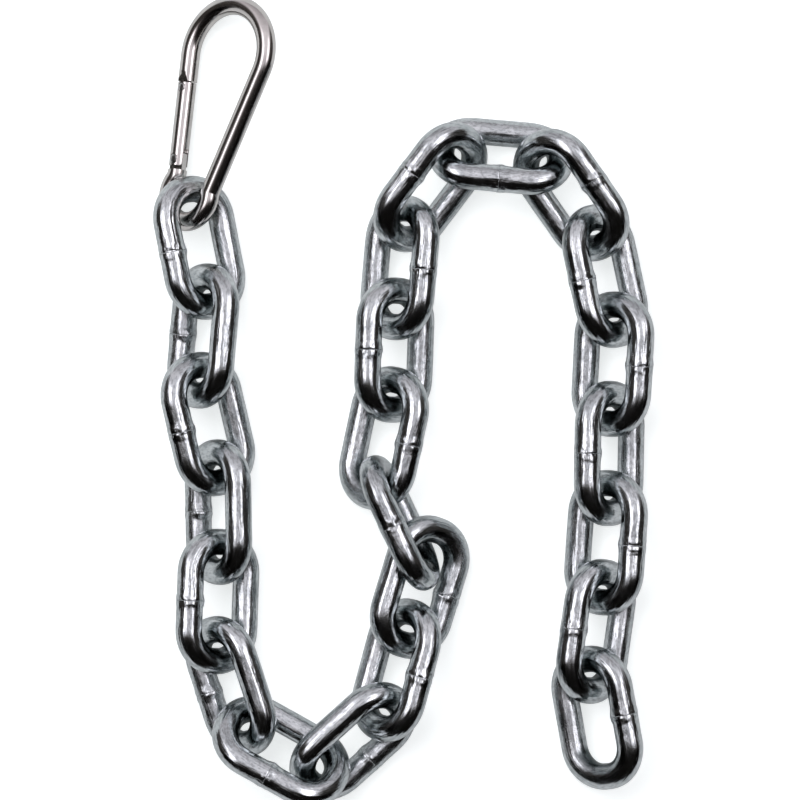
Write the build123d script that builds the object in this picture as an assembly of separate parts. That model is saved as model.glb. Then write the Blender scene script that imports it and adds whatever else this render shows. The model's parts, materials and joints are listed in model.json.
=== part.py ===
from build123d import *
from math import asin, cos, degrees, radians, sin
import os

# Short-link welded steel chain with a pear-shaped spring snap hook in its first link,
# lying in a loose S on a flat surface. Millimetres, +Z up, surface at Z = 0.
# +Y is the long way of the heap, the hook is at the +Y, -X corner.

# ---- driving dimensions of the chain -------------------------------------------------
WIRE = 8.0                # link wire diameter
INSIDE_LENGTH = 28.0      # inside length of a link, which is the chain's pitch
INSIDE_WIDTH = 12.8       # inside width of a link
CROWN_FLAT = 1.6          # short straight across each crown, left by the link bender
WELD_LENGTH = 3.4         # width of the weld's swelling along the leg
WELD_RISE = 0.4           # how far the weld stands proud of the wire

# ---- driving dimensions of the snap hook ---------------------------------------------
HOOK_WIRE = 5.8           # hook wire diameter
BOW_RADIUS = 14.9         # wide bow, centreline
EYE_RADIUS = 8.2          # narrow eye, centreline
EASE_RADIUS = 3.5         # small reverse bends each side of the narrow eye
FLARE_TURN = 38.0         # turn of the reverse bend below the gate's hinge
KINK_TURN = 22.0          # turn of the reverse bend at the foot of the spine
SPINE_ANGLE = 68.2        # the spine's lean, from the gate's square
SHOULDER_Y = 7.2          # where the wire stops under the gate
NECK = 0.4                # straight wire between the shoulder and its bend
NOSE_Y = 34.35            # end face of the nose, above the gate
SWAGE_Y = 37.5            # where the flats pressed on the nose begin
SWAGE_HALF = 2.2          # half thickness of the nose at its end face
BROKEN_EDGE = 0.3         # chamfer on the cut ends of the wires

# ---- driving dimensions of the gate --------------------------------------------------
GATE_WIRE = 5.6           # gate rod diameter
GATE_LOW = 8.4            # hinge end of the rod
GATE_HIGH = 33.9          # free end of the rod
PIVOT_Y = 10.3            # hinge pin, on the gate's centreline
LATCH_Y = 32.4            # latch pin, on the gate's centreline
GATE_OPEN = 42.0          # degrees that the gate opens inwards
TONGUE = 2.0              # thickness of the hinge tongue and of the nose tongue
TONGUE_HALF = 2.4         # half width of both tongues
TONGUE_ROOT = 1.0         # how far both tongues run into the round wire
TIP_ROUND = 0.7           # rounding of the nose tongue's tip
SLOT = 2.3                # slots sawn in both ends of the rod
HINGE_SLOT_DEEP = 3.3     # hinge slot, beyond the pivot
LATCH_SLOT_Y = 29.5       # floor of the latch slot
TIP_Y = 30.1              # tip of the nose tongue
LATCH_PLAY = 0.15         # radial play of the latch pin in its notch
NOTCH_LEAD = 0.2          # widening of the notch towards its mouth
PIVOT_PIN = 1.6           # hinge pin diameter
LATCH_PIN = 1.4           # latch pin diameter
RUNNING = 0.05            # radial clearance of a running fit
PRESSED = 0.02            # radial clearance under a riveted pin
BORE = 3.0                # drilled along the rod for the spring and plunger
BORE_END_Y = 25.5         # blind end of the bore
PLUNGER_LENGTH = 4.6      # plunger between tongue and spring
SPRING_WIRE = 0.4         # return spring wire diameter
SPRING_TURNS = 8          # its coils
CAM_FLAT = 2.4            # pivot to the tongue's flat end, which holds the gate shut
CAM_RISE = 1.0            # plunger travel for each radian that the gate opens
CAM_HEEL = 1.2            # half width of the tongue's flat end, bevelled beyond it
SPOT_FACE = 2.5           # half width of the rod across the riveted heads
HEAD_HIGH = 0.35          # height of a riveted head
HEAD_WIDE = 1.7           # its diameter, in pin diameters
HEAD_BEVEL = 0.2          # its bevelled edge

# ---- how the chain lies --------------------------------------------------------------
# One row for each link from the hook to the free end: the direction in which the chain
# runs through it, its roll about that direction (a positive roll lifts its left leg)
# and the slack at its far crown, in degrees, degrees and millimetres.
LAY = [
    (-79, -40, 1.0), (-95, 51, 1.0), (-77, -39, 1.0), (-89, 52, 1.0), (-92, -39, 1.5),
    (-72, 46, 1.5), (-29, -42, 1.0), (42, 43, 1.5), (75, -47, 2.0), (73, 33, 0.0),
    (115, 78, 0.0), (78, -41, 1.0), (88, 41, 3.0), (85, -46, 1.0), (53, 48, 1.0),
    (-5, -45, 1.0), (-55, 43, 1.0), (-78, -44, 1.0), (-93, 42, 1.0), (-91, -48, 1.0),
    (-94, 42, 1.0), (-98, -46, 1.5), (-80, 39, 0.0),
]
# Where the chain doubles back on itself it is slack, and link 11 stands on edge.
# The step from the far crown of links 10 and 11 back to the next link's near crown.
SLACK_STEP = {10: (3.7, 13.9, -5.0), 11: (1.0, 8.5, 3.4)}
FIRST_LINK = (60.3, -74.9)        # centre of link 1 while the chain is laid out
WELD_ON_LOW_LEG = (2, 4, 6, 8, 10)

# ---- how the hook lies ---------------------------------------------------------------
HOOK_PLACE = (52.6, -58.2)        # centre of the narrow eye while the chain is laid out
GATE_HEADING = 83.8               # direction from the gate's hinge to its latch
HOOK_TILT = 38.0                  # the spine side is lifted by this much
HOOK_PITCH = -4.0                 # the wide bow dips by this much

# Worked out from the dimensions above.
CROWN = (INSIDE_LENGTH + WIRE) / 2        # link centre to the crown's centreline
LEG = (INSIDE_WIDTH + WIRE) / 2           # link centre to the leg's centreline
SPRING_RADIUS = BORE / 2 - RUNNING - SPRING_WIRE / 2
Z_AXIS = Vector(0, 0, 1)
STANDING = (Align.CENTER, Align.CENTER, Align.MIN)


def direction(heading, pitch=0.0):
    """Unit vector along a heading, tipped up by a pitch."""
    level = cos(radians(pitch))
    across = cos(radians(heading)) * level
    ahead = sin(radians(heading)) * level
    return Vector(across, ahead, sin(radians(pitch)))


def link_axes(heading, roll, pitch=0.0):
    """A link's own X (along the chain) and Y (across its width)."""
    along = direction(heading, pitch)
    left = direction(heading + 90)
    up = along.cross(left)
    return along, left * cos(radians(roll)) + up * sin(radians(roll))


def resting_height(roll):
    """Height of a level link's centreline when its low leg touches the surface."""
    return WIRE / 2 + LEG * abs(sin(radians(roll)))


def crown_step(index):
    """From the next link's near crown to this link's far crown.

    The two crown bars cross, so the step is square to both of them.
    """
    if index + 1 in SLACK_STEP:
        return Vector(*SLACK_STEP[index + 1])
    along, across = link_axes(*LAY[index][:2])
    next_along, next_across = link_axes(*LAY[index + 1][:2])
    step = across.cross(next_across).normalized()
    if step.dot(along + next_along) < 0:
        step = -step
    return step * (WIRE + LAY[index][2])


def lay_chain():
    """One Plane for each link: origin at its centre, X along it, Y across it."""
    steps = [crown_step(i) for i in range(len(LAY) - 1)]
    rest = [resting_height(roll) for _, roll, _ in LAY]
    far = [max(rest[i], rest[i + 1] + step.Z) for i, step in enumerate(steps)] + rest[-1:]
    near = rest[:1] + [far[i] - step.Z for i, step in enumerate(steps)]
    planes = []
    for i, (heading, roll, _) in enumerate(LAY):
        pitch = degrees(asin((far[i] - near[i]) / (2 * CROWN)))
        along, across = link_axes(heading, roll, pitch)
        if i == 0:
            centre = Vector(*FIRST_LINK, (near[i] + far[i]) / 2)
        else:
            centre = planes[-1].origin + planes[-1].x_dir * CROWN - steps[i - 1] + along * CROWN
        planes.append(Plane(origin=centre, x_dir=along, z_dir=along.cross(across)))
    return planes


# ---- pieces, each in its own flat frame ----------------------------------------------

def round_wire(path, diameter):
    """A round wire bent along a path."""
    start = Plane(origin=path @ 0, z_dir=path % 0)
    return sweep(start * Circle(diameter / 2), path=path)


def make_link(weld_side):
    """A bent and butt-welded link with the weld's swelling in the middle of one leg."""
    centreline = RectangleRounded(2 * CROWN, 2 * LEG, LEG - CROWN_FLAT / 2).face().outer_wire()
    ring = round_wire(centreline, WIRE)
    half = WELD_LENGTH / 2
    top = WIRE / 2 + WELD_RISE
    foot = WIRE / 2 - WELD_RISE
    crest = ThreePointArc((-half, foot), (0, top), (half, foot))
    seam = make_face(Polyline((half, foot), (half, 0), (-half, 0), (-half, foot)) + crest)
    swelling = revolve(seam, axis=Axis.X)
    return ring + Pos(0, weld_side * LEG, 0) * swelling


def hook_path():
    """Centreline of the hook wire, from the shoulder round the eye and bow to the nose."""
    neck = Line((0, SHOULDER_Y), (0, SHOULDER_Y - NECK))
    flare = JernArc(neck @ 1, neck % 1, EASE_RADIUS, -FLARE_TURN)
    eye_turn = 90 + SPINE_ANGLE + FLARE_TURN + KINK_TURN
    eye = JernArc(flare @ 1, flare % 1, EYE_RADIUS, eye_turn)
    kink = JernArc(eye @ 1, eye % 1, EASE_RADIUS, -KINK_TURN)
    # The spine is as long as it must be for the bow to come back to the gate's line.
    reach = BOW_RADIUS * (1 + sin(radians(SPINE_ANGLE))) - (kink @ 1).X
    spine = Line(kink @ 1, kink @ 1 + kink % 1 * (reach / cos(radians(SPINE_ANGLE))))
    bow = JernArc(spine @ 1, spine % 1, BOW_RADIUS, 270 - SPINE_ANGLE)
    nose = Line(bow @ 1, (0, NOSE_Y))
    return Wire([neck, flare, eye, kink, spine, bow, nose])


def cam_point(turn):
    """Point of the tongue's end that carries the plunger when the gate is at this angle.

    The plunger's face is flat, so an involute lifts it evenly as the gate opens.
    """
    angle = radians(turn)
    lift = CAM_FLAT + CAM_RISE * angle
    return (lift * sin(angle) + CAM_RISE * cos(angle), lift * cos(angle) - CAM_RISE * sin(angle))


def hinge_tongue():
    """Flattened end of the wire that the gate turns on, about the pivot."""
    root = SHOULDER_Y - TONGUE_ROOT - PIVOT_Y
    side = TONGUE_HALF
    cam = [cam_point(GATE_OPEN * step / 3) for step in range(4)]
    heel = [(cam[-1][0], root), (-side, root), (-side, CAM_HEEL), (-CAM_HEEL, CAM_FLAT)]
    outline = Polyline(cam[-1], *heel, cam[0]) + Spline(*cam)
    plate = extrude(make_face(outline), TONGUE / 2, both=True)
    hole = Cylinder(PIVOT_PIN / 2 + RUNNING, 2 * TONGUE)
    return Pos(0, PIVOT_Y) * (plate - hole)


def nose_tongue():
    """Thin tongue of the nose with the notch that the latch pin drops into."""
    height = SWAGE_Y - TONGUE_ROOT - TIP_Y
    plate = Pos(0, TIP_Y + height / 2) * Box(2 * TONGUE_HALF, height, TONGUE)
    seat = LATCH_PIN / 2 + LATCH_PLAY
    mouth = 1.5 * TONGUE_HALF
    throat = Polygon((0, seat), (mouth, seat), (mouth, -seat - NOTCH_LEAD), (0, -seat), align=None)
    notch = Cylinder(seat, 2 * TONGUE)
    notch += extrude(throat, TONGUE, both=True)
    tip = fillet(plate.edges().filter_by(Axis.Z).group_by(Axis.Y)[0], TIP_ROUND)
    return tip - Pos(0, LATCH_Y) * notch


def make_hook_body():
    """Bent wire body with a hinge tongue at one end and a swaged nose at the other."""
    path = hook_path()
    body = round_wire(path, HOOK_WIRE)
    shoulder = body.edges().filter_by(GeomType.CIRCLE).sort_by_distance(path @ 0)[0]
    body = chamfer(shoulder, BROKEN_EDGE)
    half = HOOK_WIRE / 2
    wedge = Polygon((NOSE_Y, half), (SWAGE_Y, half), (NOSE_Y, SWAGE_HALF), align=None)
    flat = extrude(Plane.YZ * wedge, HOOK_WIRE, both=True)
    body -= flat
    body -= mirror(flat, about=Plane.XY)
    return body + hinge_tongue() + nose_tongue()


def make_gate():
    """Gate rod: slotted and cross-drilled at both ends, bored for its spring."""
    length = GATE_HIGH - GATE_LOW
    rod = Pos(0, GATE_LOW + length / 2) * Rot(90, 0, 0) * Cylinder(GATE_WIRE / 2, length)
    rod = chamfer(rod.edges().filter_by(GeomType.CIRCLE), BROKEN_EDGE)
    heel = Pos(0, PIVOT_Y) * Cylinder(GATE_WIRE / 2, GATE_WIRE)
    heel += Pos(0, PIVOT_Y + length / 2) * Box(GATE_WIRE, length, GATE_WIRE)
    rod &= heel
    slot_top = PIVOT_Y + HINGE_SLOT_DEEP
    rod -= Pos(0, (GATE_LOW - 1 + slot_top) / 2) * Box(2 * GATE_WIRE, slot_top - GATE_LOW + 1, SLOT)
    latch_deep = GATE_HIGH + 1 - LATCH_SLOT_Y
    rod -= Pos(0, LATCH_SLOT_Y + latch_deep / 2) * Box(2 * GATE_WIRE, latch_deep, SLOT)
    bore_length = BORE_END_Y - GATE_LOW
    rod -= Pos(0, GATE_LOW + bore_length / 2) * Rot(90, 0, 0) * Cylinder(BORE / 2, bore_length)
    for y, pin in ((PIVOT_Y, PIVOT_PIN), (LATCH_Y, LATCH_PIN)):
        rod -= Pos(0, y) * Cylinder(pin / 2 + PRESSED, 2 * GATE_WIRE)
        for side in (-1, 1):
            rod -= Pos(0, y, side * (SPOT_FACE + 1)) * Cylinder(pin, 2)
    return rod


def make_rivet(diameter, y):
    """A pin across the gate with a low domed head at each end."""
    pin = Cylinder(diameter / 2, 2 * SPOT_FACE)
    head = Pos(0, 0, SPOT_FACE) * Cylinder(diameter * HEAD_WIDE / 2, HEAD_HIGH, align=STANDING)
    head = chamfer(head.edges().sort_by(Axis.Z)[-1], HEAD_BEVEL)
    return Pos(0, y) * (pin + head + mirror(head, about=Plane.XY))


def make_plunger():
    """Flat-ended pin that the spring pushes against the tongue's cam."""
    low = PIVOT_Y + CAM_FLAT + RUNNING
    return Pos(0, low) * Rot(-90, 0, 0) * Cylinder(BORE / 2 - RUNNING, PLUNGER_LENGTH, align=STANDING)


def make_spring():
    """Coil spring between the plunger and the blind end of the bore."""
    low = PIVOT_Y + CAM_FLAT + 2 * RUNNING + PLUNGER_LENGTH + SPRING_WIRE / 2
    length = BORE_END_Y - RUNNING - SPRING_WIRE / 2 - low
    coil = Helix(length / SPRING_TURNS, length, SPRING_RADIUS)
    wire = sweep(Plane(coil @ 0, z_dir=coil % 0) * Circle(SPRING_WIRE / 2), path=coil, is_frenet=True)
    return Pos(0, low) * Rot(-90, 0, 0) * wire


# ---- place the pieces ----------------------------------------------------------------

gate_line = direction(GATE_HEADING, HOOK_PITCH)
level_side = direction(GATE_HEADING - 90)
spine_side = level_side * cos(radians(HOOK_TILT)) \
    + level_side.cross(gate_line) * sin(radians(HOOK_TILT))
hook_plane = Plane(origin=Vector(*HOOK_PLACE, 0), x_dir=spine_side, z_dir=spine_side.cross(gate_line))
body = make_hook_body()
hook_plane.origin -= Z_AXIS * body.moved(hook_plane.location).bounding_box().min.Z

placed = {
    "hook_body": hook_plane.location * body,
    "hook_gate": hook_plane.location * make_gate(),
    "gate_pivot_pin": hook_plane.location * make_rivet(PIVOT_PIN, PIVOT_Y),
    "gate_latch_pin": hook_plane.location * make_rivet(LATCH_PIN, LATCH_Y),
    "gate_plunger": hook_plane.location * make_plunger(),
    "gate_spring": hook_plane.location * make_spring(),
}
link_planes = lay_chain()
left_welded = make_link(1)
right_welded = make_link(-1)
for number, (plane, row) in enumerate(zip(link_planes, LAY), start=1):
    high_leg = 1 if row[1] > 0 else -1
    weld_side = -high_leg if number in WELD_ON_LOW_LEG else high_leg
    link = left_welded if weld_side > 0 else right_welded
    placed[f"link_{number:02d}"] = plane.location * link

# The origin goes under the middle of the whole heap.
box = Compound(list(placed.values())).bounding_box()
shift = Vector(-(box.min.X + box.max.X) / 2, -(box.min.Y + box.max.Y) / 2, -box.min.Z)

os.makedirs("parts", exist_ok=True)
for node, solid in placed.items():
    export_step(Pos(*shift) * solid, f"parts/{node}.step")
print("overall", box.size, "shift", shift)
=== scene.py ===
# %% [markdown]
# # A short-link chain and its snap hook
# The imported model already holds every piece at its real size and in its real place, and its joints move
# the pieces. This lesson gives each piece the form and finish of the real one: plated steel wire, bent,
# welded, riveted and slightly worn. All lengths are in metres.

import json
from math import cos, pi, radians, sin

import bpy
import numpy as np
from mathutils import Matrix, Vector, noise


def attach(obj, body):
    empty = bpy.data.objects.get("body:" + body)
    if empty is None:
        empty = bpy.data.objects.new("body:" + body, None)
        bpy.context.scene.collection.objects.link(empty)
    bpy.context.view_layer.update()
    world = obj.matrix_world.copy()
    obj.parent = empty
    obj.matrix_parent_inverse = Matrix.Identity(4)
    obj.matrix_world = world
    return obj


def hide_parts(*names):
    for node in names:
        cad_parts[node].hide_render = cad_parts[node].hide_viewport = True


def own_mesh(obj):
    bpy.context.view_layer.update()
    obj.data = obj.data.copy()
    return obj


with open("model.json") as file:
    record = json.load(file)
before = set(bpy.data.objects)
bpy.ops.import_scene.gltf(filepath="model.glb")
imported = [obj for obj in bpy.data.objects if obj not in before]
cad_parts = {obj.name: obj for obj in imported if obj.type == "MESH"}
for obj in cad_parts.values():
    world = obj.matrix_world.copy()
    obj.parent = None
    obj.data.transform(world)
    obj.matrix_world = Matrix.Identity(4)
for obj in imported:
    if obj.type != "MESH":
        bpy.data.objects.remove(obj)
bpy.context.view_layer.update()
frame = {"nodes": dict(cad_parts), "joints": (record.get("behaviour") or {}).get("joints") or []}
joints = {joint["name"]: joint for joint in frame["joints"]}

# %% [markdown]
# ## Bending wire
# A bent wire is easiest to make as it is made in the shop: a round section is pushed forward and turned
# round a former. In Blender that is a ring of vertices, extruded along the straights and spun round the
# bends. The helper keeps its place and direction as it goes, so a bend needs only a radius and a turn, and
# it remembers its centreline, which later tells the finish which way the drawn wire runs.

# %% A wire bender
def deselect():
    """Leaves edit mode and clears the selection, so that an operator acts on the new piece only."""
    if bpy.context.mode != "OBJECT":
        bpy.ops.object.mode_set(mode="OBJECT")
    bpy.ops.object.select_all(action="DESELECT")


class BentWire:
    """A round wire made in the XY plane. Headings are degrees from +X, and a positive turn is to the left."""

    def __init__(self, name, diameter, sides, start, heading):
        deselect()
        bpy.ops.mesh.primitive_circle_add(vertices=sides, radius=diameter / 2, fill_type="NOTHING",
                                          location=(*start, 0), rotation=(0, pi / 2, radians(heading)))
        self.piece = bpy.context.active_object
        self.piece.name = self.piece.data.name = name
        bpy.ops.object.transform_apply(location=True, rotation=True, scale=True)
        bpy.ops.object.mode_set(mode="EDIT")
        bpy.ops.mesh.select_all(action="SELECT")
        self.at = Vector((*start, 0))
        self.heading = heading
        self.centreline = [self.at.copy()]

    def ahead(self):
        """The direction that the wire runs in now."""
        return Vector((cos(radians(self.heading)), sin(radians(self.heading)), 0))

    def push(self, distance, steps=1):
        """Extrudes the end ring straight ahead."""
        step = self.ahead() * (distance / steps)
        for _ in range(steps):
            bpy.ops.mesh.extrude_region_move(TRANSFORM_OT_translate={"value": step})
            self.at += step
            self.centreline.append(self.at.copy())

    def bend(self, radius, turn, steps):
        """Spins the end ring round a former."""
        side = 1 if turn > 0 else -1
        former = self.at + Vector((-self.ahead().y, self.ahead().x, 0)) * (side * radius)
        bpy.ops.mesh.spin(steps=steps, angle=-radians(turn), center=former, axis=(0, 0, 1))
        for _ in range(steps):
            arm = Matrix.Rotation(radians(turn / steps), 3, "Z") @ (self.at - former)
            self.at = former + arm
            self.heading += turn / steps
            self.centreline.append(self.at.copy())

    def close(self):
        """Merges the last ring with the first and turns the faces outwards."""
        bpy.ops.mesh.select_all(action="SELECT")
        bpy.ops.mesh.remove_doubles(threshold=1e-6)
        bpy.ops.mesh.normals_make_consistent(inside=False)
        bpy.ops.object.mode_set(mode="OBJECT")

    def cap(self):
        """Fills both ends of an open wire and turns the faces outwards."""
        bpy.ops.mesh.select_all(action="DESELECT")
        bpy.ops.mesh.select_non_manifold()
        bpy.ops.mesh.edge_face_add()
        bpy.ops.mesh.select_all(action="SELECT")
        bpy.ops.mesh.normals_make_consistent(inside=False)
        bpy.ops.object.mode_set(mode="OBJECT")


print("wire bender ready")

# %% [markdown]
# ## Working on points
# Welds, dents and marks along the wire are changes to single points. They could be sculpted by hand, but
# each of the links needs its own, so the points are read as rows of an array, moved by a rule and written
# back.

# %% Helpers for a mesh's points
def points_of(mesh):
    """The vertices as rows of an array."""
    flat = np.zeros(len(mesh.vertices) * 3, np.float32)
    mesh.vertices.foreach_get("co", flat)
    return flat.reshape(-1, 3).astype(float)


def set_points(mesh, points):
    """Writes the rows back as the mesh's vertices."""
    mesh.vertices.foreach_set("co", np.asarray(points, np.float32).ravel())
    mesh.update()


def smooth(piece, angle):
    """Smooth shading, with edges sharper than angle kept crisp."""
    deselect()
    piece.select_set(True)
    bpy.context.view_layer.objects.active = piece
    bpy.ops.object.shade_smooth_by_angle(angle=radians(angle))


def mark_wire(mesh, centreline, offset=0.0):
    """Stores each point's place on its wire: how far along, and how far off the centreline two ways.

    A finish reads this attribute, so that its streaks follow the wire round every bend. A second attribute
    grows towards the inside of a bend, where the zinc finish lays its painted shade.
    """
    line = np.array(centreline)
    ahead = np.gradient(line, axis=0)
    ahead /= np.linalg.norm(ahead, axis=1)[:, None]
    along = np.concatenate(([0], np.cumsum(np.linalg.norm(np.diff(line, axis=0), axis=1))))
    points = points_of(mesh)
    near = np.array([np.argmin(((line - point) ** 2).sum(1)) for point in points])
    off = points - line[near]
    run = (off * ahead[near]).sum(1)
    aside = off[:, 1] * ahead[near, 0] - off[:, 0] * ahead[near, 1]
    values = np.column_stack((along[near] + run + offset, aside, points[:, 2]))
    attribute = mesh.attributes.new("wire", "FLOAT_VECTOR", "POINT")
    attribute.data.foreach_set("vector", values.astype(np.float32).ravel())
    turning = np.gradient(ahead, axis=0) / np.gradient(along)[:, None]
    turning = np.column_stack([np.convolve(turning[:, axis], np.ones(5) / 5, "same") for axis in range(3)])
    crook = (off * turning[near]).sum(1)
    mesh.attributes.new("crook", "FLOAT", "POINT").data.foreach_set("value", crook.astype(np.float32))


print("point helpers ready")

# %% [markdown]
# ## A link
# Each link is 8 mm wire, bent round two formers and butt-welded in the middle of one leg. The crowns keep
# a short straight. The wire is started at the weld, pushed and bent all the way round, and merged with its
# own start. More rings lie close to the weld, because its swollen collar and its seam are made from them.

# %% The sizes of a link
MM = 0.001
WIRE = 8 * MM
INSIDE_LENGTH = 28 * MM
INSIDE_WIDTH = 12.8 * MM
CROWN_FLAT = 1.6 * MM
LINK_SIDES = 48
BEND_STEPS = 14
CROWN = (INSIDE_LENGTH + WIRE) / 2
LEG = (INSIDE_WIDTH + WIRE) / 2
FORMER = LEG - CROWN_FLAT / 2
STRAIGHT = CROWN - FORMER
WELD_ZONE = 3.2 * MM
WELD_RINGS = 14
print("leg straight", round(2 * STRAIGHT / MM, 1), "mm, former radius", round(FORMER / MM, 1), "mm")

# %% Bend one link
link_wire = BentWire("link_form", WIRE, LINK_SIDES, (0, LEG), 0)
link_wire.push(WELD_ZONE, WELD_RINGS)
link_wire.push(STRAIGHT - WELD_ZONE, 5)
for leg in ("plain", "welded"):
    link_wire.bend(FORMER, -90, BEND_STEPS)
    link_wire.push(CROWN_FLAT, 2)
    link_wire.bend(FORMER, -90, BEND_STEPS)
    if leg == "plain":
        link_wire.push(2 * STRAIGHT, 12)
link_wire.push(STRAIGHT - WELD_ZONE, 5)
link_wire.push(WELD_ZONE, WELD_RINGS)
link_wire.close()
link_form = link_wire.piece
print("link rings", len(link_form.data.vertices) // LINK_SIDES, "faces", len(link_form.data.polygons))

# %% [markdown]
# ## The weld
# The two ends of the wire are pressed together red hot, so the metal swells into a low collar with a fine
# seam round its middle, and a little of it is squeezed out as a bead on the inner side, where the trimming
# tool doesn't reach. A collar could be a separate ring, but it is one metal with the wire, so the wire's
# own rings are scaled one by one, as with the S key, and the bead is pulled out of the inner side.

# %% Swell the weld
WELD_PROFILE = (1.022, 1.024, 1.026, 1.027, 1.027, 1.026, 1.023, 1.019, 1.014, 1.01, 1.006, 1.003)


def scale_ring(piece, x, factor):
    """Scales the ring of the welded leg that lies at x, about the leg's centreline."""
    bpy.ops.mesh.select_all(action="DESELECT")
    bpy.ops.object.mode_set(mode="OBJECT")
    for vertex in piece.data.vertices:
        vertex.select = abs(vertex.co.x - x) < 0.02 * MM and abs(vertex.co.y - LEG) < WIRE
    bpy.ops.object.mode_set(mode="EDIT")
    bpy.ops.transform.resize(value=(1, factor, factor), center_override=(x, LEG, 0))


deselect()
bpy.context.view_layer.objects.active = link_form
bpy.ops.object.mode_set(mode="EDIT")
for side in (-1, 1):
    for number, factor in enumerate(WELD_PROFILE):
        if side < 0 and number == 0:
            continue
        scale_ring(link_form, side * number * WELD_ZONE / WELD_RINGS, factor)
bpy.ops.object.mode_set(mode="OBJECT")
print("weld collar", round(max(WELD_PROFILE) * WIRE / MM, 2), "mm across")

# %% Pull out the bead and roughen the collar
LUMP = 0.15 * MM
PIT = 0.08 * MM
SEAM_DEEP = 0.11 * MM
SEAM_WIDE = 0.22 * MM
BEAD_HIGH = 0.72 * MM
BEAD_WIDE = 1.3 * MM
BEAD_FROM = 0.15
LUMPS_REACH = 1.1 * WELD_ZONE


def weld_lumps(points, seed):
    """Roughens the collar by about a tenth of a millimetre, sinks the seam and pulls out the bead."""
    moved = points.copy()
    close = np.nonzero((np.abs(points[:, 0]) < LUMPS_REACH) & (points[:, 1] > LEG - WIRE))[0]
    bead_at = 0.5 * MM * noise.noise(Vector((seed * 7.1, 0, 0)))
    for index in close:
        point = Vector(points[index])
        out = Vector((0, point.y - LEG, point.z)).normalized()
        fade = max(0.0, 1 - (point.x / LUMPS_REACH) ** 2)
        lump = noise.noise(Vector((point.x * 620, out.y * 2.6, out.z * 2.6 + seed * 3.7)))
        pit = noise.noise(Vector((point.x * 1000, out.y * 7, out.z * 7 - seed * 1.9)))
        seam_at = 0.45 * MM * noise.noise(Vector((out.y * 1.4, out.z * 1.4, seed * 5.3)))
        open_seam = max(0.0, 0.35 + 1.6 * noise.noise(Vector((out.y * 1.1, out.z * 1.1, seed * 2.9))))
        lift = (LUMP * lump + PIT * pit) * fade
        lift -= SEAM_DEEP * min(open_seam, 1.2) * np.exp(-((point.x - seam_at) / SEAM_WIDE) ** 2)
        inner = max(0.0, -out.y - BEAD_FROM)
        lift += BEAD_HIGH * inner ** 2 * np.exp(-((point.x - bead_at) / BEAD_WIDE) ** 2)
        moved[index] += np.array(out) * lift
    return moved


def hammer(points, normals, seed, deep):
    """Lets a drawn and tumbled wire be a little out of round."""
    moved = points.copy()
    for index, point in enumerate(points):
        spot = Vector(point) + Vector((seed * 0.37, 0, 0))
        wave = noise.noise(spot * 130) + 0.35 * noise.noise(spot * 420)
        moved[index] += normals[index] * (wave * deep)
    return moved


print("bead about", round(BEAD_HIGH * (1 - BEAD_FROM) ** 2 / MM, 2), "mm high")

# %% [markdown]
# ## Where each link lies
# A CAD solid knows its own place. Its centre of volume is the link's centre, and its second moments are
# largest along the link, less across it and least through it. Those three directions place a copy of the
# link exactly, and the side on which the solid bulges is its welded leg.

# %% Read a link's place from its solid
def link_place(node):
    """The matrix that carries the link form onto a CAD link."""
    mesh = frame["nodes"][node].data
    points = points_of(mesh)
    mesh.calc_loop_triangles()
    corners = np.array([triangle.vertices[:] for triangle in mesh.loop_triangles])
    a, b, c = (points[corners[:, k]] for k in range(3))
    volumes = np.einsum("ij,ij->i", a, np.cross(b, c)) / 6
    centre = (volumes[:, None] * (a + b + c) / 4).sum(0) / volumes.sum()
    a, b, c = a - centre, b - centre, c - centre
    volumes = np.einsum("ij,ij->i", a, np.cross(b, c)) / 6
    total = a + b + c
    moments = sum(np.einsum("i,ij,ik->jk", volumes, p, p) for p in (a, b, c, total)) / 20
    directions = np.linalg.eigh(moments)[1]
    along, across = directions[:, 2], directions[:, 1]
    middle = np.abs((points - centre) @ along) < 0.6 * MM
    reach = (points[middle] - centre) @ across
    if -reach.min() > reach.max():
        across = -across
    up = np.cross(along, across)
    place = Matrix.Identity(4)
    for row in range(3):
        place[row][:] = (along[row], across[row], up[row], centre[row])
    return place


first_place = link_place("link_01")
print("link 1 centre, mm", [round(value / MM, 2) for value in first_place.translation])

# %% [markdown]
# ## Forging the links
# Every link gets its own mesh, because no two come out of the shop alike: each has its own bead, its own
# lumps in the collar and its own slight waves along the wire. The points are changed while the link still
# lies flat at the origin, and then the whole mesh is carried to its place.

# %% Forge the links
HAMMER_DEEP = 0.05 * MM
STREAK_SHIFT = 0.31
link_names = sorted(node for node in frame["nodes"] if node.startswith("link_"))
links = []
for number, node in enumerate(link_names, start=1):
    mesh = link_form.data.copy()
    link = bpy.data.objects.new("forged_" + node, mesh)
    bpy.context.scene.collection.objects.link(link)
    points = weld_lumps(points_of(mesh), number)
    normals = np.array([vertex.normal[:] for vertex in mesh.vertices])
    set_points(mesh, hammer(points, normals, number, HAMMER_DEEP))
    mark_wire(mesh, link_wire.centreline, offset=number * STREAK_SHIFT)
    mesh.transform(link_place(node))
    smooth(link, 60)
    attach(link, node)
    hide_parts(node)
    links.append(link)
bpy.data.objects.remove(link_form)
print("links", len(links), "points in each", len(links[0].data.vertices))

# %% [markdown]
# ## The snap hook
# The body is one length of 5.8 mm wire, bent to a pear: a short neck, a narrow eye that a link just fits,
# a straight spine and a wide bow that comes back to the gate's line. It could be drawn as a curve with a
# round section, but the wire bender gives even rings and remembers its centreline. It is made in its own
# flat frame, with +Y along the gate, and carried to its place by the gate's hinge and its plunger's line.

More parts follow.
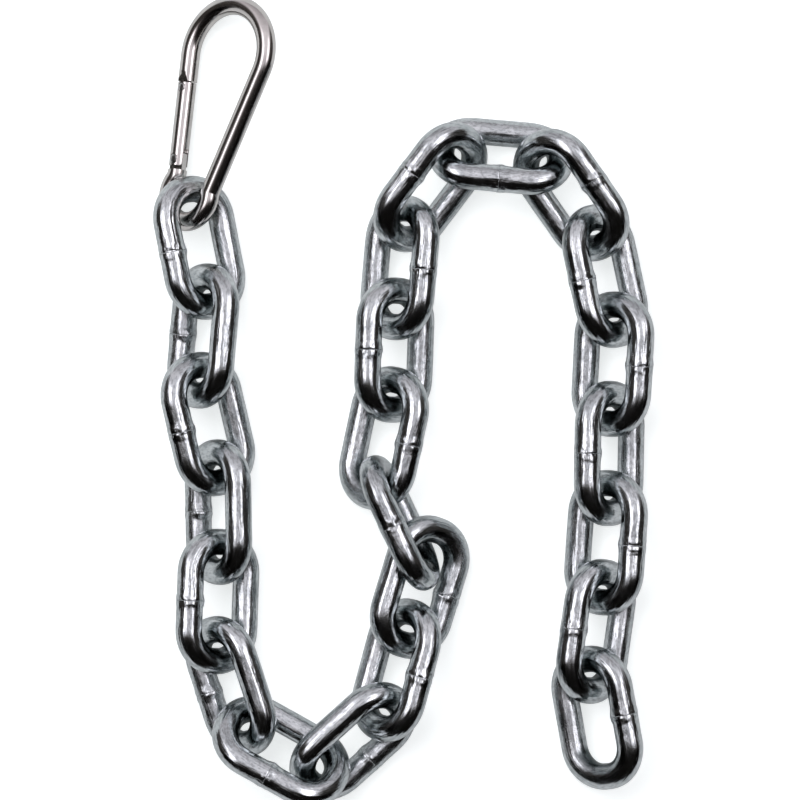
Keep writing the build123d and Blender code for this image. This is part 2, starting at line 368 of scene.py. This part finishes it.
# %% The sizes of the hook
HOOK_WIRE = 5.8 * MM
BOW_RADIUS = 14.9 * MM
EYE_RADIUS = 8.2 * MM
EASE_RADIUS = 3.5 * MM
FLARE_TURN = 38
KINK_TURN = 22
SPINE_ANGLE = 68.2
SHOULDER_Y = 7.2 * MM
NECK = 0.4 * MM
NOSE_Y = 34.35 * MM
SWAGE_Y = 37.5 * MM
SWAGE_HALF = 2.2 * MM
TONGUE = 2.0 * MM
PIVOT_Y = 10.3 * MM
LATCH_Y = 32.4 * MM
TIP_Y = 30.1 * MM
LATCH_PIN = 1.4 * MM
PIVOT_PIN = 1.6 * MM
HOOK_SIDES = 48
print("bow inside", round(2 * BOW_RADIUS / MM - HOOK_WIRE / MM, 1), "mm wide")

# %% Find the hook's frame
pivot = Vector(joints["gate_hinge"]["pos_m"])
hook_out = -Vector(joints["gate_hinge"]["axis"])
gate_line = Vector(joints["plunger_slide"]["axis"])
spine_side = gate_line.cross(hook_out)
hook_origin = pivot - gate_line * PIVOT_Y
hook_place = Matrix.Identity(4)
for row in range(3):
    hook_place[row][:] = (spine_side[row], gate_line[row], hook_out[row], hook_origin[row])
print("hook tilt", round(np.degrees(np.arcsin(spine_side.z)), 1), "degrees")

# %% Bend the hook
hook_wire = BentWire("hook_body_wire", HOOK_WIRE, HOOK_SIDES, (0, SHOULDER_Y), -90)
hook_wire.push(NECK, 1)
hook_wire.bend(EASE_RADIUS, -FLARE_TURN, 8)
hook_wire.bend(EYE_RADIUS, 90 + SPINE_ANGLE + FLARE_TURN + KINK_TURN, 36)
hook_wire.bend(EASE_RADIUS, -KINK_TURN, 6)
spine_reach = BOW_RADIUS * (1 + sin(radians(SPINE_ANGLE))) - hook_wire.at.x
hook_wire.push(spine_reach / cos(radians(SPINE_ANGLE)), 16)
hook_wire.bend(BOW_RADIUS, 270 - SPINE_ANGLE, 48)
hook_wire.push(hook_wire.at.y - NOSE_Y, 8)
hook_wire.cap()
hook_body = hook_wire.piece
print("hook", round(max(p.x for p in hook_wire.centreline) / MM, 1), "mm to the spine side,",
      "spine", round(spine_reach / cos(radians(SPINE_ANGLE)) / MM, 1), "mm")

# %% [markdown]
# ## Tongues and nose
# The wire's ends are pressed flat to thin tongues that enter the gate's slots, and the nose is swaged: two
# flats narrow it towards the gate. The rings of the wire could be squeezed to do this, but the edges would
# come out soft. Plates are drawn as outlines and extruded, wedges are blocks, and both are joined to the
# wire or cut from it with the Boolean modifier.

# %% Plates and Booleans
def plate(name, outline, thickness):
    """A flat plate from an outline in the XY plane, extruded both ways from it."""
    deselect()
    mesh = bpy.data.meshes.new(name)
    mesh.from_pydata([(x, y, -thickness / 2) for x, y in outline], [], [range(len(outline))])
    piece = bpy.data.objects.new(name, mesh)
    bpy.context.scene.collection.objects.link(piece)
    piece.select_set(True)
    bpy.context.view_layer.objects.active = piece
    bpy.ops.object.mode_set(mode="EDIT")
    bpy.ops.mesh.select_all(action="SELECT")
    bpy.ops.mesh.extrude_region_move(TRANSFORM_OT_translate={"value": (0, 0, thickness)})
    bpy.ops.mesh.select_all(action="SELECT")
    bpy.ops.mesh.normals_make_consistent(inside=False)
    bpy.ops.object.mode_set(mode="OBJECT")
    return piece


ROD_SIDES = 32


def rod(name, radius, length, centre, along="Z", bevel=0.0):
    """A round rod along Y or Z. With a bevel, its end edges are broken."""
    deselect()
    turn = {"Y": (pi / 2, 0, 0), "Z": (0, 0, 0)}[along]
    bpy.ops.mesh.primitive_cylinder_add(vertices=ROD_SIDES, radius=radius, depth=length, location=centre,
                                        rotation=turn)
    piece = bpy.context.active_object
    piece.name = piece.data.name = name
    bpy.ops.object.transform_apply(location=True, rotation=True, scale=True)
    if bevel:
        bpy.ops.object.mode_set(mode="EDIT")
        bpy.ops.mesh.select_all(action="DESELECT")
        bpy.ops.object.mode_set(mode="OBJECT")
        for face in piece.data.polygons:
            face.select = len(face.vertices) > 4
        bpy.ops.object.mode_set(mode="EDIT")
        bpy.ops.mesh.select_mode(type="FACE")
        bpy.ops.mesh.region_to_loop()
        bpy.ops.mesh.bevel(offset=bevel, segments=4, affect="EDGES")
        bpy.ops.object.mode_set(mode="OBJECT")
        bpy.context.tool_settings.mesh_select_mode = (True, False, False)
    return piece


def combine(piece, tool, operation):
    """Joins tool to piece or cuts it away, and removes the tool."""
    deselect()
    bpy.context.view_layer.objects.active = piece
    piece.select_set(True)
    step = piece.modifiers.new("step", "BOOLEAN")
    step.operation = operation
    step.solver = "EXACT"
    step.object = tool
    bpy.ops.object.modifier_apply(modifier="step")
    bpy.data.objects.remove(tool)


def arc(centre, radius, start, end, steps):
    """Points of an arc in the XY plane."""
    angles = [radians(start + (end - start) * step / steps) for step in range(steps + 1)]
    return [(centre[0] + radius * cos(angle), centre[1] + radius * sin(angle)) for angle in angles]


print("plates, rods, Booleans and arcs ready")

# %% Press the hinge tongue
RUNNING = 0.05 * MM
CAM_FLAT = 2.4 * MM
CAM_HEEL = 1.2 * MM
CAM_ROUND = 1.0 * MM
TONGUE_HALF = 2.4 * MM
TONGUE_ROOT = 1.0 * MM
TIP_ROUND = 0.7 * MM
LATCH_PLAY = 0.15 * MM
NOTCH_LEAD = 0.2 * MM

root_y = SHOULDER_Y - TONGUE_ROOT
cam_y = PIVOT_Y + CAM_FLAT
hinge_tongue = plate("hinge_tongue", [(-TONGUE_HALF, root_y), (TONGUE_HALF, root_y)]
                     + arc((TONGUE_HALF - CAM_ROUND, cam_y - CAM_ROUND), CAM_ROUND, 0, 90, 5)
                     + [(-CAM_HEEL, cam_y), (-TONGUE_HALF, PIVOT_Y + CAM_HEEL)], TONGUE)
combine(hinge_tongue, rod("hole", PIVOT_PIN / 2 + RUNNING, 2 * TONGUE, (0, PIVOT_Y, 0)), "DIFFERENCE")
combine(hook_body, hinge_tongue, "UNION")
print("hinge tongue joined, body points", len(hook_body.data.vertices))

# %% Swage the nose
WEDGE_LONG = 14 * MM
WEDGE_HIGH = 6 * MM
lean = np.arctan2(HOOK_WIRE / 2 - SWAGE_HALF, SWAGE_Y - NOSE_Y)
for side in (-1, 1):
    deselect()
    bpy.ops.mesh.primitive_cube_add(size=1, location=(0, 0, 0))
    wedge = bpy.context.active_object
    wedge.scale = (4 * HOOK_WIRE, WEDGE_LONG, WEDGE_HIGH)
    wedge.rotation_euler = (side * lean, 0, 0)
    low = Vector((0, NOSE_Y, side * SWAGE_HALF))
    wedge.location = low + Matrix.Rotation(side * lean, 3, "X") @ Vector((0, 0, side * WEDGE_HIGH / 2))
    deselect()
    wedge.select_set(True)
    bpy.context.view_layer.objects.active = wedge
    bpy.ops.object.transform_apply(location=True, rotation=True, scale=True)
    combine(hook_body, wedge, "DIFFERENCE")
print("swage leans", round(np.degrees(lean), 1), "degrees")

# %% Add the notched nose tongue
corner_x = TONGUE_HALF - TIP_ROUND
corner_y = TIP_Y + TIP_ROUND
nose_tongue = plate("nose_tongue", [(-TONGUE_HALF, SWAGE_Y - TONGUE_ROOT)]
                    + arc((-corner_x, corner_y), TIP_ROUND, 180, 270, 4)
                    + arc((corner_x, corner_y), TIP_ROUND, -90, 0, 4)
                    + [(TONGUE_HALF, SWAGE_Y - TONGUE_ROOT)], TONGUE)
seat = LATCH_PIN / 2 + LATCH_PLAY
notch_end = 4 * MM
notch = plate("notch", arc((0, LATCH_Y), seat, 90, 270, 10)
              + [(notch_end, LATCH_Y - seat - NOTCH_LEAD), (notch_end, LATCH_Y + seat)], 2 * TONGUE)
combine(nose_tongue, notch, "DIFFERENCE")
combine(hook_body, nose_tongue, "UNION")
print("hook body points", len(hook_body.data.vertices))

# %% [markdown]
# ## The gate
# The gate is a straight rod, slotted at both ends, drilled along its length for the spring and across it
# for two riveted pins. Its heel is rounded about the hinge pin, so that it clears the hook's shoulder as
# it swings. The slots, the bore and the seats of the rivet heads are cut from the rod, as they are in the
# shop. Each cutter reaches a little past the rod, because a cut that ends exactly on a face leaves a skin
# behind.

# %% Make the gate
GATE_WIRE = 5.6 * MM
GATE_LOW = 8.4 * MM
GATE_HIGH = 33.9 * MM
SLOT = 2.3 * MM
SLOT_TOP = PIVOT_Y + 3.3 * MM
PIN_PLAY = 0.02 * MM
LATCH_SLOT_Y = 29.5 * MM
BORE = 3.0 * MM
BORE_END_Y = 25.5 * MM
SPOT_FACE = 2.5 * MM
LATCH_WALL = 2.52 * MM
OVERCUT = 1 * MM

gate_wire = BentWire("gate_rod", GATE_WIRE, HOOK_SIDES, (0, GATE_LOW), 90)
gate_wire.push(GATE_HIGH - GATE_LOW, 30)
gate_wire.cap()
gate = gate_wire.piece
heel = plate("heel", arc((0, PIVOT_Y), GATE_WIRE / 2, 180, 360, 32)
             + [(GATE_WIRE, PIVOT_Y + OVERCUT), (GATE_WIRE, GATE_HIGH + OVERCUT),
                (-GATE_WIRE, GATE_HIGH + OVERCUT), (-GATE_WIRE, PIVOT_Y + OVERCUT)], 2 * GATE_WIRE)
combine(gate, heel, "INTERSECT")


def slot_cutter(low, high, inner=GATE_WIRE):
    """A flat slab that cuts a slot across the rod, as far as inner on the side that faces into the hook."""
    return plate("slot", [(-GATE_WIRE, low), (inner, low), (inner, high), (-GATE_WIRE, high)], SLOT)


combine(gate, slot_cutter(GATE_LOW - OVERCUT, SLOT_TOP), "DIFFERENCE")
combine(gate, slot_cutter(LATCH_SLOT_Y, GATE_HIGH + OVERCUT, LATCH_WALL), "DIFFERENCE")
bore_length = BORE_END_Y - GATE_LOW + OVERCUT
combine(gate, rod("bore", BORE / 2, bore_length, (0, BORE_END_Y - bore_length / 2, 0), "Y"), "DIFFERENCE")
for y, pin in ((PIVOT_Y, PIVOT_PIN), (LATCH_Y, LATCH_PIN)):
    combine(gate, rod("hole", pin / 2 + PIN_PLAY, 2 * GATE_WIRE, (0, y, 0)), "DIFFERENCE")
    for side in (-1, 1):
        seat_at = (0, y, side * (SPOT_FACE + OVERCUT))
        combine(gate, rod("seat", pin, 2 * OVERCUT, seat_at), "DIFFERENCE")
print("gate points", len(gate.data.vertices))

# %% [markdown]
# ## Rivets
# The two cross pins are headed over in shallow seats, so each shows a low dome on both sides of the gate.
# A dome could be half a sphere, but a peened head is flatter than that: a short disc is inset twice, and
# its top is then sunk towards the rim.

# %% Head the rivets
HEAD_HIGH = 0.35 * MM
HEAD_DROP = 0.22 * MM
HEAD_GRIP = 0.2 * MM
HEAD_WIDE = 1.7
HEAD_INSETS = (0.16, 0.19)


def rivet(name, diameter, y):
    """A pin with a low domed head on each side of the gate."""
    pin = rod(name, diameter / 2, 2 * SPOT_FACE + HEAD_GRIP, (0, y, 0))
    head_radius = diameter * HEAD_WIDE / 2
    for side in (-1, 1):
        head = rod("head", head_radius, HEAD_HIGH, (0, y, side * (SPOT_FACE + HEAD_HIGH / 2)))
        deselect()
        bpy.context.view_layer.objects.active = head
        bpy.ops.object.mode_set(mode="EDIT")
        bpy.ops.mesh.select_all(action="DESELECT")
        bpy.ops.object.mode_set(mode="OBJECT")
        for face in head.data.polygons:
            face.select = face.normal.z * side > 0.9
        bpy.ops.object.mode_set(mode="EDIT")
        for inset in HEAD_INSETS:
            bpy.ops.mesh.inset(thickness=inset * diameter)
        bpy.ops.object.mode_set(mode="OBJECT")
        points = points_of(head.data)
        radius = np.hypot(points[:, 0], points[:, 1] - y) / head_radius
        top = points[:, 2] * side > SPOT_FACE + 0.9 * HEAD_HIGH
        points[top, 2] -= side * HEAD_DROP * radius[top] ** 2
        set_points(head.data, points)
        combine(pin, head, "UNION")
    return pin


pivot_pin = rivet("pivot_rivet", PIVOT_PIN, PIVOT_Y)
latch_pin = rivet("latch_rivet", LATCH_PIN, LATCH_Y)
print("rivets", round((SPOT_FACE + HEAD_HIGH) * 2 / MM, 2), "mm over their heads")

# %% [markdown]
# ## The spring and its plunger
# Inside the gate's bore, a coil spring pushes a small plunger against the cam on the hook's tongue. The
# spring starts as a small ring and is wound by the Screw modifier, which is simpler than laying out a
# helix by hand. The real spring shortens as the gate opens; here it is wound at one length and rides on the
# gate.

# %% Wind the spring and turn the plunger
SPRING_WIRE = 0.4 * MM
SPRING_TURNS = 8
SPRING_RADIUS = BORE / 2 - RUNNING - SPRING_WIRE / 2
PLUNGER_LENGTH = 4.6 * MM
PLUNGER_LOW = PIVOT_Y + CAM_FLAT + RUNNING
SPRING_LOW = PLUNGER_LOW + PLUNGER_LENGTH + RUNNING + SPRING_WIRE / 2
SPRING_HIGH = BORE_END_Y - RUNNING - SPRING_WIRE / 2

deselect()
bpy.ops.mesh.primitive_circle_add(vertices=12, radius=SPRING_WIRE / 2, fill_type="NOTHING",
                                  location=(SPRING_RADIUS, 0, 0), rotation=(pi / 2, 0, 0))
spring = bpy.context.active_object
spring.name = "coil_spring"
bpy.ops.object.transform_apply(location=True, rotation=True, scale=True)
bpy.context.scene.cursor.location = (0, 0, 0)
bpy.ops.object.origin_set(type="ORIGIN_CURSOR")
winding = spring.modifiers.new("winding", "SCREW")
winding.steps = winding.render_steps = 24
winding.iterations = SPRING_TURNS
winding.screw_offset = (SPRING_HIGH - SPRING_LOW) / SPRING_TURNS
winding.use_merge_vertices = False
bpy.ops.object.modifier_apply(modifier="winding")
bpy.ops.object.mode_set(mode="EDIT")
bpy.ops.mesh.select_all(action="DESELECT")
bpy.ops.mesh.select_non_manifold()
bpy.ops.mesh.edge_face_add()
bpy.ops.mesh.select_all(action="SELECT")
bpy.ops.mesh.normals_make_consistent(inside=False)
bpy.ops.object.mode_set(mode="OBJECT")
spring.rotation_euler = (-pi / 2, 0, 0)
spring.location = (0, SPRING_LOW, 0)
bpy.ops.object.transform_apply(location=True, rotation=True, scale=True)
plunger = rod("turned_plunger", BORE / 2 - RUNNING, PLUNGER_LENGTH,
              (0, PLUNGER_LOW + PLUNGER_LENGTH / 2, 0), "Y", bevel=0.1 * MM)
print("spring", [round(size / MM, 2) for size in spring.dimensions], "points", len(spring.data.vertices))

# %% [markdown]
# ## Putting the hook together
# So far the hook's pieces lie flat in their own frame. Each one could be moved by hand until it fits, but
# the hinge and the plunger's line already fix the place exactly, so one matrix carries all of them. Each
# piece then rides on the body that moves it: rivets and spring on the gate, the plunger on its own.

# %% Carry the hook's pieces to their place
for piece, wire, node, body, name in (
        (hook_body, hook_wire, "hook_body", "hook", "bent_hook_body"),
        (gate, gate_wire, "hook_gate", "gate", "slotted_gate"),
        (pivot_pin, gate_wire, "gate_pivot_pin", "gate", "pivot_rivet"),
        (latch_pin, gate_wire, "gate_latch_pin", "gate", "latch_rivet")):
    piece.name = name
    mark_wire(piece.data, wire.centreline)
    piece.data.transform(hook_place)
    smooth(piece, 30)
    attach(piece, body)
    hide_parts(node)
    print(name, [round(size / MM, 1) for size in piece.dimensions])

for piece, node, body in ((spring, "gate_spring", "gate"), (plunger, "gate_plunger", "plunger")):
    mark_wire(piece.data, gate_wire.centreline)
    piece.data.transform(hook_place)
    smooth(piece, 30)
    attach(piece, body)
    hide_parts(node)
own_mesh(spring)

# %% [markdown]
# ## Finishes
# Every finish here is a small node tree. Pictures could be wrapped round the wire instead, but they would
# stretch at the bends and repeat from link to link, and noise does neither. A few helpers add the usual
# nodes.

# %% Shader helpers
def new_finish(name):
    """An empty node material with its surface shader."""
    finish = bpy.data.materials.new(name)
    finish.use_nodes = True
    nodes = finish.node_tree.nodes
    return finish, nodes, finish.node_tree.links, nodes["Principled BSDF"]


def attribute_node(tree_nodes, name, output):
    """One of the attributes that mark_wire stored."""
    attribute = tree_nodes.new("ShaderNodeAttribute")
    attribute.attribute_name = name
    return attribute.outputs[output]


def plug(tree_links, value, socket):
    """Links another node's output to a socket, or sets the socket to a plain value."""
    if isinstance(value, bpy.types.NodeSocket):
        tree_links.new(value, socket)
    else:
        socket.default_value = value


def mix_node(tree_nodes, tree_links, factor, first, second, data="RGBA", blend="MIX"):
    """Mixes two colours, or two numbers with data="FLOAT". Each input is a value or a node's output."""
    mix = tree_nodes.new("ShaderNodeMix")
    mix.data_type = data
    mix.blend_type = blend
    for name, value in (("Factor", factor), ("A", first), ("B", second)):
        plug(tree_links, value, mix.inputs[name])
    return mix.outputs["Result"]


def noise_node(tree_nodes, tree_links, source, scale, detail=3.0, rough=0.55, stretch=None):
    """A noise texture, optionally stretched along one axis of its coordinates."""
    texture = tree_nodes.new("ShaderNodeTexNoise")
    texture.inputs["Scale"].default_value = scale
    texture.inputs["Detail"].default_value = detail
    texture.inputs["Roughness"].default_value = rough
    if stretch:
        mapping = tree_nodes.new("ShaderNodeMapping")
        mapping.inputs["Scale"].default_value = stretch
        tree_links.new(source, mapping.inputs["Vector"])
        source = mapping.outputs["Vector"]
    tree_links.new(source, texture.inputs["Vector"])
    return texture.outputs["Fac"]


def ramp_node(tree_nodes, tree_links, source, stops):
    """A colour ramp from a list of (position, grey or colour)."""
    ramp = tree_nodes.new("ShaderNodeValToRGB")
    elements = ramp.color_ramp.elements
    while len(elements) < len(stops):
        elements.new(0.5)
    for element, (position, colour) in zip(elements, stops):
        element.position = position
        element.color = (*colour, 1) if isinstance(colour, tuple) else (colour, colour, colour, 1)
    tree_links.new(source, ramp.inputs["Fac"])
    return ramp.outputs["Color"]


def bump_node(tree_nodes, tree_links, height, strength, distance, under=None):
    """A bump from a height, over an earlier bump if there is one."""
    bump = tree_nodes.new("ShaderNodeBump")
    bump.inputs["Strength"].default_value = strength
    bump.inputs["Distance"].default_value = distance
    tree_links.new(height, bump.inputs["Height"])
    if under:
        tree_links.new(under, bump.inputs["Normal"])
    return bump.outputs["Normal"]


print("shader helpers ready")

# %% [markdown]
# ## Zinc
# The chain is zinc plated: bright, a little blue, and softly clouded where the plating is thicker. It was
# plated over drawn wire, so its gloss breaks into short streaks along the wire, with small dark specks.
# Painted shade darkens the inside of the crowns, where the links lie close. One even metal would look like
# chrome, so object coordinates carry the clouds, the wire attribute carries the streaks round every bend,
# and the crook attribute carries the painted shade.

# %% Zinc plating
CLOUD_SCALE = 160
DRAW_SCALE = 430
STREAK_SCALE = 900
SPECK_SCALE = 1500
GRAIN_SCALE = 3000
DRAW_DEEP = 0.42 * MM
STREAK_DEEP = 0.11 * MM
GRAIN_DEEP = 0.03 * MM
BRIGHT_ABOVE = 15 * MM
DULL_BELOW = 6 * MM
DULLING = 0.13
ZINC_DARK = (0.54, 0.585, 0.598)
ZINC_PALE = (0.78, 0.822, 0.833)
SPECK_DARK = 0.72
# The colour of the painted shade laid into the inside of each bend.
PAINTED_SHADE = (0.05, 0.07, 0.07, 1)


def zinc_plating():
    """Bright zinc over drawn wire, duller low down where the chain lies on the table."""
    finish, nodes, tree_links, surface = new_finish("bright_zinc")
    place = nodes.new("ShaderNodeTexCoord").outputs["Object"]
    wire = attribute_node(nodes, "wire", "Vector")
    crook = attribute_node(nodes, "crook", "Fac")
    clouds = noise_node(nodes, tree_links, place, CLOUD_SCALE, detail=4, rough=0.6)
    draws = noise_node(nodes, tree_links, wire, DRAW_SCALE, detail=3, rough=0.5, stretch=(0.09, 1, 1))
    streaks = noise_node(nodes, tree_links, wire, STREAK_SCALE, detail=1.5, rough=0.5, stretch=(0.3, 1, 1))
    specks = noise_node(nodes, tree_links, wire, SPECK_SCALE, detail=2, stretch=(0.5, 1, 1))
    grain = noise_node(nodes, tree_links, place, GRAIN_SCALE, detail=2)

    plated = ramp_node(nodes, tree_links, clouds, [(0.3, ZINC_DARK), (0.7, ZINC_PALE)])
    pits = ramp_node(nodes, tree_links, specks, [(0.38, SPECK_DARK), (0.55, 1.0)])
    pitted = mix_node(nodes, tree_links, 1.0, plated, pits, blend="MULTIPLY")
    # Painted shade: the base colour darkens towards the inside of each bend, read from the crook attribute.
    shade_mask = ramp_node(nodes, tree_links, crook, [(0.13, 0.0), (0.34, 0.88)])
    tree_links.new(mix_node(nodes, tree_links, shade_mask, pitted, PAINTED_SHADE), surface.inputs["Base Color"])

    height = nodes.new("ShaderNodeSeparateXYZ")
    tree_links.new(place, height.inputs[0])
    dull = nodes.new("ShaderNodeMapRange")
    for socket, value in (("From Min", BRIGHT_ABOVE), ("From Max", DULL_BELOW),
                          ("To Min", 0.0), ("To Max", 1.0)):
        dull.inputs[socket].default_value = value
    tree_links.new(height.outputs["Z"], dull.inputs["Value"])
    gloss = nodes.new("ShaderNodeMath")
    gloss.operation = "MULTIPLY_ADD"
    tree_links.new(dull.outputs["Result"], gloss.inputs[0])
    gloss.inputs[1].default_value = DULLING
    tree_links.new(ramp_node(nodes, tree_links, streaks, [(0.3, 0.08), (0.7, 0.22)]), gloss.inputs[2])
    tree_links.new(gloss.outputs[0], surface.inputs["Roughness"])

    normal = bump_node(nodes, tree_links, draws, 0.8, DRAW_DEEP)
    normal = bump_node(nodes, tree_links, streaks, 0.8, STREAK_DEEP, normal)
    normal = bump_node(nodes, tree_links, grain, 0.5, GRAIN_DEEP, normal)
    tree_links.new(normal, surface.inputs["Normal"])
    surface.inputs["Metallic"].default_value = 1.0
    return finish


zinc = zinc_plating()
print("zinc nodes", len(zinc.node_tree.nodes))

# %% [markdown]
# ## The hook's polish
# The hook, its rivets and its spring are smoother than the chain: fine drawing lines under a thin bright
# plating, a little warmer in colour. The zinc finish could be reused, but its streaks are too coarse for a
# polished wire. So one finish with faint long lines serves all three, with its own tint and gloss for
# each.

# %% Polished steel
LINE_SCALE = 1500
LINE_DEEP = 0.05 * MM
STAIN_SCALE = 240
STAIN = 0.86


def polished_steel(name, tint, low, high):
    """Smooth drawn wire under a thin bright plating, with a roughness between low and high."""
    finish, nodes, tree_links, surface = new_finish(name)
    wire = attribute_node(nodes, "wire", "Vector")
    place = nodes.new("ShaderNodeTexCoord").outputs["Object"]
    lines = noise_node(nodes, tree_links, wire, LINE_SCALE, detail=3, stretch=(0.03, 1, 1))
    clouds = noise_node(nodes, tree_links, place, STAIN_SCALE, detail=3)
    darker = tuple(STAIN * channel for channel in tint)
    tree_links.new(ramp_node(nodes, tree_links, clouds, [(0.3, darker), (0.7, tint)]),
                   surface.inputs["Base Color"])
    tree_links.new(ramp_node(nodes, tree_links, lines, [(0.35, low), (0.75, high)]),
                   surface.inputs["Roughness"])
    tree_links.new(bump_node(nodes, tree_links, lines, 0.12, LINE_DEEP), surface.inputs["Normal"])
    surface.inputs["Metallic"].default_value = 1.0
    return finish


hook_steel = polished_steel("hook_plating", (0.75, 0.725, 0.7), 0.11, 0.25)
pin_steel = polished_steel("rivet_steel", (0.66, 0.66, 0.655), 0.16, 0.3)
spring_steel = polished_steel("drawn_spring_wire", (0.5, 0.49, 0.48), 0.2, 0.32)


def dress(piece, finish):
    """Gives a piece one finish."""
    piece.data.materials.clear()
    piece.data.materials.append(finish)


for link in links:
    dress(link, zinc)
for piece in (hook_body, gate):
    dress(piece, hook_steel)
for piece in (pivot_pin, latch_pin):
    dress(piece, pin_steel)
dress(plunger, pin_steel)
dress(spring, spring_steel)
print("finishes", [material.name for material in (zinc, hook_steel, pin_steel, spring_steel)])

# %% [markdown]
# ## The table
# The chain lies on a plain white table. A white surface under bright lamps could do, but it would light
# the underside of every link and wash out the dark bands in the metal. So the table glows white only to
# the camera, and the metal sees it as a grey surface.

# %% The table
TABLE_SIZE = 3.0
TABLE_GREY = (0.53, 0.55, 0.55, 1)
SEEN_WHITE = (0.97, 1, 1, 1)
GLOW_TO_METAL = 0.07
GLOW_TO_CAMERA = 0.72

deselect()
bpy.ops.mesh.primitive_plane_add(size=TABLE_SIZE, location=(0, 0, 0))
table = bpy.context.active_object
table.name = "table_top"
paper, nodes, tree_links, surface = new_finish("white_table")
surface.inputs["Base Color"].default_value = TABLE_GREY
surface.inputs["Roughness"].default_value = 1.0
surface.inputs["Specular IOR Level"].default_value = 0.0
surface.inputs["Emission Color"].default_value = SEEN_WHITE
seen = nodes.new("ShaderNodeLightPath").outputs["Is Camera Ray"]
glow = ramp_node(nodes, tree_links, seen, [(0, GLOW_TO_METAL), (1, GLOW_TO_CAMERA)])
tree_links.new(glow, surface.inputs["Emission Strength"])
dress(table, paper)
print("table", TABLE_SIZE, "m square")

# %% [markdown]
# ## The lamp
# The chain throws only a faint, soft shadow to its lower right. The room alone would light the table from
# all sides and leave the chain floating, so one weak lamp gives that shadow. It shows in no reflection,
# because the room already draws everything that the metal mirrors.

# %% The light on the table
KEY_PLACE = (-0.25, 0.3, 0.8)
KEY_SIZE = 0.6
KEY_WATTS = 5

key_data = bpy.data.lights.new("key_box", "AREA")
key_data.shape = "RECTANGLE"
key_data.size = KEY_SIZE
key_data.size_y = KEY_SIZE
key_data.energy = KEY_WATTS
key_lamp = bpy.data.objects.new("key_box", key_data)
bpy.context.scene.collection.objects.link(key_lamp)
key_lamp.location = KEY_PLACE
key_lamp.rotation_euler = Vector(KEY_PLACE).to_track_quat("Z", "Y").to_euler()
key_lamp.visible_glossy = False
print("lamp", KEY_WATTS, "W at", KEY_PLACE)

# %% [markdown]
# ## The room
# Plated metal shows only what it reflects, so the room matters as much as the finish. Real soft boxes and
# screens could be modelled, but each would need placing and lighting. The room is the world's shader
# instead, drawn by direction: a grey ceiling on the north side, a dark south side, dark walls, and two
# long soft boxes overhead, one to each side. They give the dark bands and the bright ones, and the table
# gives the pale rims. The camera itself sees plain white behind the table.

# %% The room that the metal reflects
CEILING = [(0.0, 0.005), (0.30, 0.008), (0.37, 0.04), (0.42, 0.2), (0.47, 0.5),
           (0.53, 0.54), (0.68, 0.7), (0.78, 0.84), (0.88, 0.68), (1.0, 0.4)]
WALLS = [(0.0, 1.0), (0.62, 0.95), (0.72, 0.45), (0.8, 0.09), (1.0, 0.06)]
BOXES = [(0.0, 0.14), (0.08, 0.1), (0.18, 0.0), (0.32, 0.2),
         (0.43, 1.0), (0.60, 1.0), (0.68, 0.1), (0.74, 0.0)]
BOX_ENDS = [(0.40, 0.0), (0.47, 0.7), (0.55, 1.0), (0.70, 0.6), (0.80, 0.0)]
BOX_BRIGHTNESS = 2.3
DIM_TINT = (0.95, 0.84, 0.78, 1)
BRIGHT_TINT = (1.02, 0.965, 1.025, 1)
TINT_GAIN = 3.0
BACKDROP = 0.95

world = bpy.data.worlds.new("room")
bpy.context.scene.world = world
world.use_nodes = True
room_nodes = world.node_tree.nodes
room_links = world.node_tree.links


def calc(operation, first, *rest):
    """A math node in the room's shader. Each input is a number or a node's output."""
    node = room_nodes.new("ShaderNodeMath")
    node.operation = operation
    for value, socket in zip((first, *rest), node.inputs):
        plug(room_links, value, socket)
    return node.outputs[0]


def grade(source, stops):
    """A brightness from a list of (position, brightness)."""
    return ramp_node(room_nodes, room_links, source, stops)


toward = room_nodes.new("ShaderNodeSeparateXYZ")
room_links.new(room_nodes.new("ShaderNodeTexCoord").outputs["Generated"], toward.inputs[0])
aside = calc("ABSOLUTE", toward.outputs["X"])
from_south = calc("MULTIPLY_ADD", toward.outputs["Y"], 0.5, 0.5)
roof = calc("MULTIPLY", grade(from_south, CEILING), grade(aside, WALLS))
boxes = calc("MULTIPLY", grade(aside, BOXES), grade(from_south, BOX_ENDS))
shine = calc("ADD", roof, calc("MULTIPLY", boxes, BOX_BRIGHTNESS))
tinted = calc("MINIMUM", calc("MULTIPLY", shine, TINT_GAIN), 1.0)
tint = mix_node(room_nodes, room_links, tinted, DIM_TINT, BRIGHT_TINT)
seen = room_nodes.new("ShaderNodeLightPath").outputs["Is Camera Ray"]
background = room_nodes["Background"]
room_links.new(mix_node(room_nodes, room_links, seen, tint, SEEN_WHITE), background.inputs["Color"])
room_links.new(mix_node(room_nodes, room_links, seen, shine, BACKDROP, data="FLOAT"),
               background.inputs["Strength"])
print("room nodes", len(room_nodes))

# %% [markdown]
# ## The camera
# The chain is seen straight from above. A long lens keeps the links near the edges from leaning outwards,
# and an orthographic camera would be flatter still, but a real lens makes what lies higher a little
# larger. The distance follows from the width that the view covers at about half the height of the chain.

# %% The camera
VIEW_WIDTH = 0.2419
LENS = 180.0
SENSOR = 36.0
CHAIN_MIDDLE = 12 * MM
VIEW_X = -1.05 * MM
VIEW_Y = -0.11 * MM

camera_data = bpy.data.cameras.new("overhead")
camera_data.lens = LENS
camera_data.sensor_width = SENSOR
camera_data.clip_end = 20
camera = bpy.data.objects.new("overhead", camera_data)
bpy.context.scene.collection.objects.link(camera)
camera.location = (VIEW_X, VIEW_Y, VIEW_WIDTH * LENS / SENSOR + CHAIN_MIDDLE)
bpy.context.scene.camera = camera
bpy.context.scene.view_settings.view_transform = "Standard"
print("camera", round(camera.location.z, 3), "m above the table")
